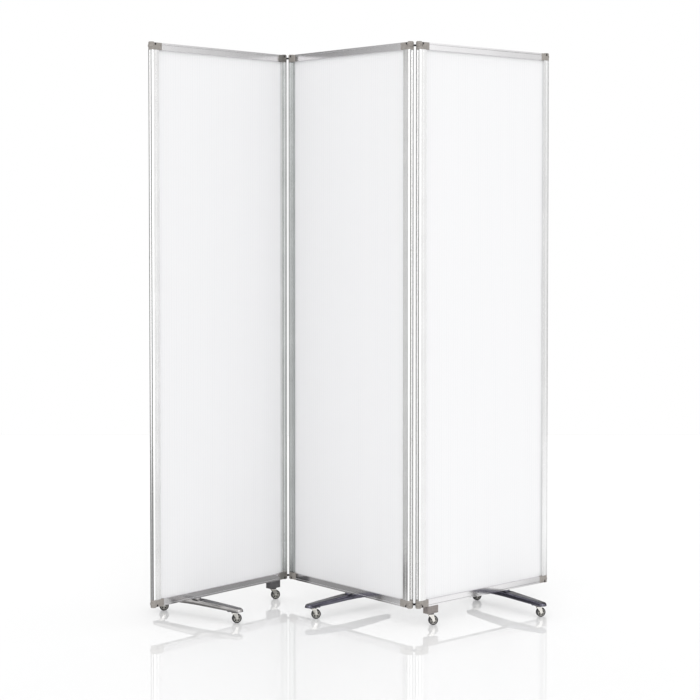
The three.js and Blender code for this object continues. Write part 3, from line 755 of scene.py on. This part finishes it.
def anodised_aluminium(panel, bar, along, satin, dark, light):
    """Satin silver anodising over an extrusion: faint die lines run along the bar, and the etched
    surface spreads each highlight. Lines are 0.4 mm apart on the real bar, drawn at 1 mm. The
    ribbed outer edge of a post is painted near white, a painted highlight, and the grooves beside its rib
    are painted grey, a painted shade."""
    material, tree, output = new_material(f"{panel}_{bar}")
    place, turned = on_panel(tree, panel)
    close_set, drawn_out = 1 / DIE_LINE_SPACING, 0.3
    stretch = (close_set, close_set, drawn_out) if along == "Z" else (drawn_out, close_set, close_set)
    lined = add_node(tree, "ShaderNodeMapping", inputs={"Vector": turned, "Scale": stretch})
    lines = add_node(
        tree, "ShaderNodeTexNoise",
        inputs={"Vector": lined.outputs[0], "Scale": 1.0, "Detail": 3.0, "Roughness": 0.55},
    ).outputs["Fac"]
    smoothest, roughest = satin * 0.92, satin * 1.08
    rough = add_node(
        tree, "ShaderNodeMapRange",
        inputs={"Value": lines, "From Min": 0.3, "From Max": 0.7, "To Min": smoothest, "To Max": roughest},
    )
    bump = add_node(tree, "ShaderNodeBump", inputs={"Height": lines, "Strength": 0.03, "Distance": 0.0002})
    sides = add_node(tree, "ShaderNodeSeparateXYZ", inputs={"Vector": turned})
    reach = add_node(tree, "ShaderNodeMath", {"operation": "ABSOLUTE"}, {0: sides.outputs["X"]})
    across = add_node(tree, "ShaderNodeMath", {"operation": "ABSOLUTE"}, {0: sides.outputs["Y"]})
    # Painted highlight and shade: past EDGE_START the post's outer edge is painted near white, and the
    # grooves beside its rib are painted grey
    edge = add_node(
        tree, "ShaderNodeMath", {"operation": "GREATER_THAN"}, {0: reach.outputs[0], 1: EDGE_START}
    )
    groove_shade_mask = add_node(
        tree, "ShaderNodeMath", {"operation": "COMPARE"},
        {0: across.outputs[0], 1: GROOVE_MIDDLE, 2: GROOVE_HALF_WIDTH},
    )
    painted_edge_light_and_groove_shade = add_node(
        tree, "ShaderNodeMix", {"data_type": "RGBA"},
        {"Factor": groove_shade_mask.outputs[0], "A": linear("#efefef"), "B": linear("#b4b4b3")},
    )
    colour = add_node(
        tree, "ShaderNodeMix", {"data_type": "RGBA"},
        {
            "Factor": edge.outputs[0],
            "A": clouded(tree, place, 9.0, 2.0, 0.35, dark, 0.65, light),
            "B": painted_edge_light_and_groove_shade.outputs["Result"],
        },
    )
    metal = add_node(
        tree, "ShaderNodeBsdfPrincipled",
        inputs={
            "Base Color": colour.outputs["Result"],
            "Metallic": 1.0,
            "Roughness": rough.outputs[0],
            "Normal": bump.outputs[0],
        },
    )
    tree.links.new(metal.outputs[0], output.inputs[0])
    return material


def grained_nylon(name, dark, light, grain=0.0009):
    """Spark-eroded nylon moulding: a fine pebble grain breaks up the light, and the colour is even.
    The grain is 0.3 mm on the real piece, drawn at the size given in metres."""
    material, tree, output = new_material(name)
    place = add_node(tree, "ShaderNodeTexCoord").outputs["Object"]
    pebble = add_node(
        tree, "ShaderNodeTexVoronoi", {"feature": "SMOOTH_F1"},
        {"Vector": place, "Scale": 1 / grain, "Smoothness": 0.6},
    ).outputs["Distance"]
    rough = add_node(
        tree, "ShaderNodeMapRange",
        inputs={"Value": pebble, "From Max": 0.6, "To Min": 0.42, "To Max": 0.60},
    )
    bump = add_node(tree, "ShaderNodeBump", inputs={"Height": pebble, "Strength": 0.35, "Distance": 0.0002})
    plastic = add_node(
        tree, "ShaderNodeBsdfPrincipled",
        inputs={
            "Base Color": clouded(tree, place, 120.0, 4.0, 0.35, dark, 0.68, light),
            "Roughness": rough.outputs[0],
            "IOR": 1.53,
            "Normal": bump.outputs[0],
        },
    )
    tree.links.new(plastic.outputs[0], output.inputs[0])
    return material


# A web shows as a line this wide on each side of its middle
WEB_HALF_WIDTH = 0.0012
# The skins' streaks: about 17 mm apart, and long from top to bottom
STREAKS_PER_METRE = (60, 60, 0.8)


def twinwall_polypropylene(panel):
    """Opal twin-wall sheet: white, softly shining skins that let light through, with the upright
    webs between them showing as fine, slightly darker lines one flute pitch (10.2 mm) apart."""
    material, tree, output = new_material(f"{panel}_twinwall_polypropylene")
    turned = on_panel(tree, panel)[1]
    across = add_node(tree, "ShaderNodeSeparateXYZ", inputs={"Vector": turned})
    flute = add_node(
        tree, "ShaderNodeMath", {"operation": "PINGPONG"}, {0: across.outputs["X"], 1: FLUTE_PITCH / 2}
    )
    web = add_node(
        tree, "ShaderNodeMapRange", {"interpolation_type": "SMOOTHSTEP"},
        {
            "Value": flute.outputs[0],
            "From Min": 0.0,
            "From Max": WEB_HALF_WIDTH,
            "To Min": 1.0,
            "To Max": 0.0,
        },
    )
    stretched = add_node(tree, "ShaderNodeMapping", inputs={"Vector": turned, "Scale": STREAKS_PER_METRE})
    streaks = add_node(
        tree, "ShaderNodeTexNoise", inputs={"Vector": stretched.outputs[0], "Scale": 1.0, "Detail": 3.0}
    ).outputs["Fac"]
    weight = add_node(tree, "ShaderNodeMath", {"operation": "MULTIPLY"}, {0: web.outputs[0], 1: streaks})
    shade = add_node(tree, "ShaderNodeValToRGB", inputs={"Fac": weight.outputs[0]})
    grade(shade, 0.0, "#f8f8f9", 0.8, "#edeeef")
    height = add_node(tree, "ShaderNodeMath", {"operation": "ADD"}, {0: weight.outputs[0], 1: streaks})
    bump = add_node(
        tree, "ShaderNodeBump", inputs={"Height": height.outputs[0], "Strength": 0.12, "Distance": 0.0004}
    )
    skin = add_node(
        tree, "ShaderNodeBsdfPrincipled",
        inputs={
            "Base Color": shade.outputs["Color"],
            "Roughness": 0.38,
            "IOR": 1.49,
            "Normal": bump.outputs[0],
        },
    )
    glow = add_node(
        tree, "ShaderNodeBsdfTranslucent",
        inputs={"Color": shade.outputs["Color"], "Normal": bump.outputs[0]},
    )
    both = add_node(tree, "ShaderNodeMixShader", inputs={0: 0.12, 1: skin.outputs[0], 2: glow.outputs[0]})
    tree.links.new(both.outputs[0], output.inputs[0])
    return material


def worked_metal(name, dark, light, roughness, grain, scratch, top=None):
    """Cast, pressed or plated steel and alloy: its colour drifts a little over the piece, handling
    leaves fine scratches, and the grain size in metres sets how coarse the surface looks. A colour
    for the top is painted shade: it goes on faces that lie level."""
    material, tree, output = new_material(name)
    place = add_node(tree, "ShaderNodeTexCoord").outputs["Object"]
    colour = clouded(tree, place, 60.0, 3.0, 0.3, dark, 0.7, light)
    # painted shade: faces that lie level take the top colour
    if top:
        facing = add_node(tree, "ShaderNodeNewGeometry").outputs["Normal"]
        rise = add_node(tree, "ShaderNodeSeparateXYZ", inputs={"Vector": facing})
        level = add_node(
            tree, "ShaderNodeMapRange", {"interpolation_type": "SMOOTHSTEP"},
            {"Value": rise.outputs["Z"], "From Min": 0.90, "From Max": 0.98},
        )
        colour = add_node(
            tree, "ShaderNodeMix", {"data_type": "RGBA"},
            {"Factor": level.outputs[0], "A": colour, "B": linear(top)},
        ).outputs["Result"]
    pits = add_node(
        tree, "ShaderNodeTexNoise", inputs={"Vector": place, "Scale": 1 / grain, "Detail": 5.0}
    ).outputs["Fac"]
    smoothest, roughest = roughness * 0.8, roughness * 1.3
    rough = add_node(
        tree, "ShaderNodeMapRange",
        inputs={"Value": pits, "From Min": 0.3, "From Max": 0.7, "To Min": smoothest, "To Max": roughest},
    )
    bump = add_node(
        tree, "ShaderNodeBump", inputs={"Height": pits, "Strength": scratch, "Distance": 0.0001}
    )
    metal = add_node(
        tree, "ShaderNodeBsdfPrincipled",
        inputs={
            "Base Color": colour,
            "Metallic": 1.0,
            "Roughness": rough.outputs[0],
            "Normal": bump.outputs[0],
        },
    )
    tree.links.new(metal.outputs[0], output.inputs[0])
    return material


def tyre_rubber():
    """Grey thermoplastic rubber: dull, a little scuffed, with dust held in its grain. The grain is
    0.5 mm on the real tyre, drawn at 2.5 mm."""
    material, tree, output = new_material("grey_tyre_rubber")
    place = add_node(tree, "ShaderNodeTexCoord").outputs["Object"]
    dust = add_node(
        tree, "ShaderNodeTexNoise",
        inputs={"Vector": place, "Scale": 400.0, "Detail": 5.0, "Roughness": 0.6},
    ).outputs["Fac"]
    shade = add_node(tree, "ShaderNodeValToRGB", inputs={"Fac": dust})
    grade(shade, 0.35, "#1d1d1f", 0.7, "#2f2f31")
    bump = add_node(tree, "ShaderNodeBump", inputs={"Height": dust, "Strength": 0.3, "Distance": 0.0002})
    rubber = add_node(
        tree, "ShaderNodeBsdfPrincipled",
        inputs={
            "Base Color": shade.outputs["Color"],
            "Roughness": 0.62,
            "IOR": 1.52,
            "Normal": bump.outputs[0],
        },
    )
    tree.links.new(rubber.outputs[0], output.inputs[0])
    return material


# Each finish has a darker and a lighter shade, and its colour drifts between them
finishes = {
    # glass-filled nylon is a warm mid grey
    "cap": grained_nylon("glass_filled_nylon_caps", "#8b8681", "#9a9590"),
    "right_bracket": grained_nylon("glass_filled_nylon_bracket", "#7e7875", "#8b8481"),
    # painted shade: the left panel's hinge caps and its bracket, deep in the hinge's corner, are painted
    # darker copies of the same nylon
    "dark_cap": grained_nylon("dark_glass_filled_nylon_caps", "#676562", "#767470"),
    "left_bracket": grained_nylon("dark_glass_filled_nylon_bracket", "#4a494b", "#565557"),
    # a grey moulded wheel centre
    "hub": grained_nylon("moulded_nylon_hubs", "#94928d", "#a3a19c", 0.0012),
    # oil-blackened steel stays dark and keeps a dull sheen
    "link": worked_metal("blackened_steel_links", "#1e1d20", "#29282b", 0.42, 0.0008, 0.10),
    # alloy casting: its sides and rim are polished, and its level top is painted dark, a painted shade
    "foot": worked_metal("polished_alloy_casting", "#53525c", "#5f5e68", 0.12, 0.0015, 0.04, "#25252d"),
    # painted light: the left foot is a brighter, lit copy of the same casting
    "left_foot": worked_metal(
        "painted_light_alloy_casting", "#959392", "#a19f9f", 0.12, 0.0015, 0.04, "#3d3c41"
    ),
    # zinc plating is pale and slightly clouded
    "bolt": worked_metal("zinc_plated_steel", "#989ca2", "#a9adb2", 0.32, 0.0010, 0.08),
    # darker plating dulls the casters' plates
    "plate": worked_metal("dark_plated_steel", "#5a595d", "#6a696d", 0.34, 0.0010, 0.08),
    # chrome is smooth and reflects nearly all that it sees
    "fork": worked_metal("chromed_steel", "#cdcbc5", "#dbd9d4", 0.10, 0.0020, 0.02),
    "tyre": tyre_rubber(),
}
# Painted light and shade: each post is painted its own pair of shades for the light and reflections that
# fall on it, the middle panel's posts darker than the outer ones
POST_PAINTED_SHADES = {
    "left_left": ("#dfdfdf", "#e4e4e4"),
    "left_right": ("#dadada", "#dfdfdf"),
    "centre_left": ("#b2b5b4", "#b7bab9"),
    "centre_right": ("#c8c8c7", "#cdcdcc"),
    "right_left": ("#dadada", "#dfdfdf"),
    "right_right": ("#e2e2e2", "#e7e7e7"),
}
RAIL_SHADES = ("#d3d2d3", "#d8d7d8")
# Roughness: the posts are etched duller than the rails
POST_SATIN, RAIL_SATIN = 0.23, 0.14
for panel in YAWS:
    for end in ("left", "right"):
        bar, shades = f"{end}_anodised_post", POST_PAINTED_SHADES[f"{panel}_{end}"]
        finishes[f"{panel}_{end}_post"] = anodised_aluminium(panel, bar, "Z", POST_SATIN, *shades)
    finishes[f"{panel}_rail"] = anodised_aluminium(panel, "anodised_rails", "X", RAIL_SATIN, *RAIL_SHADES)
    finishes[f"{panel}_sheet"] = twinwall_polypropylene(panel)


def finish_nodes():
    """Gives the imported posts, rails, sheets and bolts their finishes."""
    for name, node in nodes.items():
        panel = name.split("_")[0]
        kind = name.split("_")[-1]
        if kind == "post":
            finish = finishes[name]
        elif kind in ("rail", "sheet"):
            finish = finishes[f"{panel}_{kind}"]
        elif kind == "bolt":
            finish = finishes["bolt"]
        else:
            continue
        node.data.materials.clear()
        node.data.materials.append(finish)


def at_level(place, level):
    """A hinge corner's place at the top of the frame, or turned over at its bottom."""
    if level == "top":
        return place @ Matrix.Translation((0, 0, FRAME_TOP))
    return place @ Matrix.Translation((0, 0, FRAME_BOTTOM)) @ Matrix.Rotation(math.pi, 4, "X")


def add_caps():
    screws = cap_screws_pattern()
    for hinged in (True, False):
        pattern = cap_pattern(hinged)
        for panel in PANELS:
            for end in ("left", "right"):
                if hinged == (panel == end):
                    continue
                # painted shade: the left panel's hinge caps take the darker copy of the nylon
                finish = finishes["dark_cap" if (panel, end) == ("left", "right") else "cap"]
                corner = PANELS[panel] @ turn(0 if end == "left" else 180)
                corner = corner @ Matrix.Translation((-HALF_WIDTH, 0, 0))
                body = f"{panel}_panel"
                for level in ("top", "bottom"):
                    place = at_level(corner, level)
                    node = f"{panel}_cap_{level}_{end}"
                    place_copy(pattern, f"{node}_moulding", place, body, "cap_nylon", finish, node)
                    place_copy(screws, f"{node}_screws", place, body, "blackened_steel", finishes["link"])
        bpy.data.objects.remove(pattern)
    bpy.data.objects.remove(screws)


def add_links():
    bar, eyes = link_pattern(), eyes_pattern()
    for side in ("left", "right"):
        inner, outer = pivot(f"{side}_inner_pivot"), pivot(f"{side}_outer_pivot")
        along = outer - inner
        place = Matrix.Translation((inner.x, inner.y, 0))
        place = place @ Matrix.Rotation(math.atan2(along.y, along.x), 4, "Z")
        body = f"{side}_links"
        for level in ("top", "bottom"):
            node = f"{side}_hinge_link_{level}"
            corner = at_level(place, level)
            place_copy(bar, f"{node}_bar", corner, body, "blackened_steel", finishes["link"], node)
            place_copy(eyes, f"{node}_eyes", corner, body, "cap_nylon", finishes["cap"])
    bpy.data.objects.remove(bar)
    bpy.data.objects.remove(eyes)


def foot_place(panel):
    """A foot's own frame: y along the foot, a little askew under its panel."""
    inset = HALF_WIDTH - FOOT_INSET
    offset = {"left": -inset, "centre": 0, "right": inset}[panel]
    return PANELS[panel] @ Matrix.Translation((offset, 0, 0)) @ turn(FOOT_TURNS[panel])


def add_feet():
    pattern = foot_pattern()
    for panel in PANELS:
        node = f"{panel}_foot"
        place = foot_place(panel)
        # painted light: the left foot takes the brighter, lit copy of the casting
        finish = finishes["left_foot" if panel == "left" else "foot"]
        place_copy(pattern, f"{node}_casting", place, f"{panel}_panel", "polished_casting", finish, node)
    bpy.data.objects.remove(pattern)


def add_brackets():
    pattern = bracket_pattern()
    reach = HALF_WIDTH - BRACKET_INSET
    for panel, offset in {"left": reach, "right": -reach}.items():
        place = PANELS[panel] @ Matrix.Translation((offset, 0, 0))
        node = f"{panel}_caster_bracket"
        # painted shade: the left bracket's finish is a darker copy of the nylon
        finish = finishes[f"{panel}_bracket"]
        place_copy(pattern, f"{node}_moulding", place, f"{panel}_panel", "bracket_nylon", finish, node)
    bpy.data.objects.remove(pattern)


def add_casters():
    plate, screws, stem = plate_pattern(), screws_pattern(), stem_pattern()
    fork, tyre, hub = fork_pattern(), tyre_pattern(), hub_pattern()
    for name in CASTERS:
        panel = name.split("_")[0]
        kingpin = pivot(f"{name}_swivel")
        under = Matrix.Translation((kingpin.x, kingpin.y, 0))
        axle = Vector(joints[f"{name}_spin"]["axis"])
        swivelled = under @ Matrix.Rotation(math.atan2(-axle.x, axle.y), 4, "Z")
        wheel = swivelled @ Matrix.Translation((TRAIL, 0, WHEEL_RADIUS))
        body = f"{panel}_panel"
        mount = f"{name}_caster_mount"
        if name.endswith("hinge"):
            fixed = under @ turn(YAWS[panel])
            place_copy(stem, f"{name}_stem", fixed, body, "caster_steel", finishes["plate"], mount)
        else:
            fixed = under @ turn(YAWS[panel] + FOOT_TURNS[panel])
            place_copy(plate, f"{name}_plate", fixed, body, "caster_steel", finishes["plate"], mount)
            place_copy(screws, f"{name}_plate_screws", fixed, body, "zinc_plated_steel", finishes["bolt"])
        body, node = f"{name}_fork", f"{name}_caster_fork"
        place_copy(fork, f"{name}_pressed_fork", swivelled, body, "chromed_steel", finishes["fork"], node)
        body, node = f"{name}_wheel", f"{name}_caster_wheel"
        place_copy(tyre, f"{name}_tyre", wheel, body, "grey_rubber", finishes["tyre"], node)
        place_copy(hub, f"{name}_hub", wheel, body, "grey_rubber", finishes["hub"])
    for pattern in (plate, screws, stem, fork, tyre, hub):
        bpy.data.objects.remove(pattern)


# Studio: a glossy white floor, a white background, and a wide, soft sun behind the camera
WHITE = linear("#ffffff")
FLOOR_SIZE = 9
SUN_PLACE = (4, -2, 5)
SUN_STRENGTH = 0.56
SUN_WIDTH = 40
SUNLIGHT = Vector((-0.10, 0.85, -0.42))


def fading(tree, place, along, start, end, bright, dim):
    """A strength that falls smoothly from bright to dim between two places along a direction."""
    depth = add_node(tree, "ShaderNodeVectorMath", {"operation": "DOT_PRODUCT"}, {0: place, 1: along})
    level = add_node(
        tree, "ShaderNodeMapRange", {"interpolation_type": "SMOOTHSTEP"},
        {
            "Value": depth.outputs["Value"],
            "From Min": start,
            "From Max": end,
            "To Min": bright,
            "To Max": dim,
        },
    )
    return level.outputs[0]


def add_floor():
    bpy.ops.object.select_all(action="DESELECT")
    bpy.ops.mesh.primitive_plane_add(size=FLOOR_SIZE, location=(0, 0, 0))
    floor = bpy.context.object
    floor.name = "studio_floor"
    material, tree, output = new_material("glossy_white_floor")
    path = add_node(tree, "ShaderNodeLightPath")
    seen = add_node(
        tree, "ShaderNodeMath", {"operation": "MAXIMUM"},
        {0: path.outputs["Is Camera Ray"], 1: path.outputs["Is Transmission Ray"]},
    )
    # white to the camera, with the screen's shadow and a mirror image in its lacquer
    lacquer = add_node(
        tree, "ShaderNodeBsdfPrincipled",
        inputs={"Base Color": linear("#dfdfdf"), "Roughness": 0.0, "IOR": 1.45},
    )
    glow = add_node(tree, "ShaderNodeEmission", inputs={"Color": WHITE, "Strength": 0.16})
    shown = add_node(tree, "ShaderNodeAddShader", inputs={0: lacquer.outputs[0], 1: glow.outputs[0]})
    # a pale floor throws light up at the screen
    pale = add_node(tree, "ShaderNodeBsdfDiffuse", inputs={"Color": linear("#fbfbfb")})
    # metal sees a painted pool of light: the floor glows for glossy rays, brightest in front of the screen
    # and to its right
    place = add_node(tree, "ShaderNodeTexCoord").outputs["Object"]
    level = fading(tree, place, (-0.3, 1.0, 0.0), -0.30, 0.02, 1.27, 0.40)
    painted_light_pool = add_node(tree, "ShaderNodeEmission", inputs={"Color": WHITE, "Strength": level})
    unseen = add_node(
        tree, "ShaderNodeMixShader",
        inputs={0: path.outputs["Is Glossy Ray"], 1: pale.outputs[0], 2: painted_light_pool.outputs[0]},
    )
    both = add_node(
        tree, "ShaderNodeMixShader", inputs={0: seen.outputs[0], 1: unseen.outputs[0], 2: shown.outputs[0]}
    )
    tree.links.new(both.outputs[0], output.inputs[0])
    floor.data.materials.append(material)


def add_light():
    world = bpy.data.worlds.new("white_studio")
    bpy.context.scene.world = world
    world.use_nodes = True
    tree = world.node_tree
    tree.nodes.clear()
    output = tree.nodes.new("ShaderNodeOutputWorld")
    white = add_node(tree, "ShaderNodeBackground", inputs={"Color": WHITE, "Strength": 1.0})
    # metal sees the studio: white lamps in front of the screen, and a grey room past its ends and behind it
    ray = add_node(tree, "ShaderNodeTexCoord").outputs["Generated"]
    level = fading(tree, ray, (0.035, 1.0, 0.0), -0.04, 0.17, 1.42, 0.28)
    room = add_node(tree, "ShaderNodeBackground", inputs={"Color": WHITE, "Strength": level})
    # the floor's mirror image shows the white background
    path = add_node(tree, "ShaderNodeLightPath")
    spread = add_node(
        tree, "ShaderNodeMath", {"operation": "SUBTRACT"},
        {0: path.outputs["Is Glossy Ray"], 1: path.outputs["Is Singular Ray"]},
    )
    both = add_node(
        tree, "ShaderNodeMixShader", inputs={0: spread.outputs[0], 1: white.outputs[0], 2: room.outputs[0]}
    )
    tree.links.new(both.outputs[0], output.inputs[0])
    bpy.ops.object.light_add(type="SUN", location=SUN_PLACE)
    sun = bpy.context.object
    sun.data.energy = SUN_STRENGTH
    sun.data.angle = math.radians(SUN_WIDTH)
    sun.rotation_euler = SUNLIGHT.to_track_quat("-Z", "Y").to_euler()


add_camera()
add_floor()
add_light()
finish_nodes()
add_caps()
add_links()
add_feet()
add_brackets()
add_casters()

bpy.context.scene.view_settings.view_transform = "Standard"
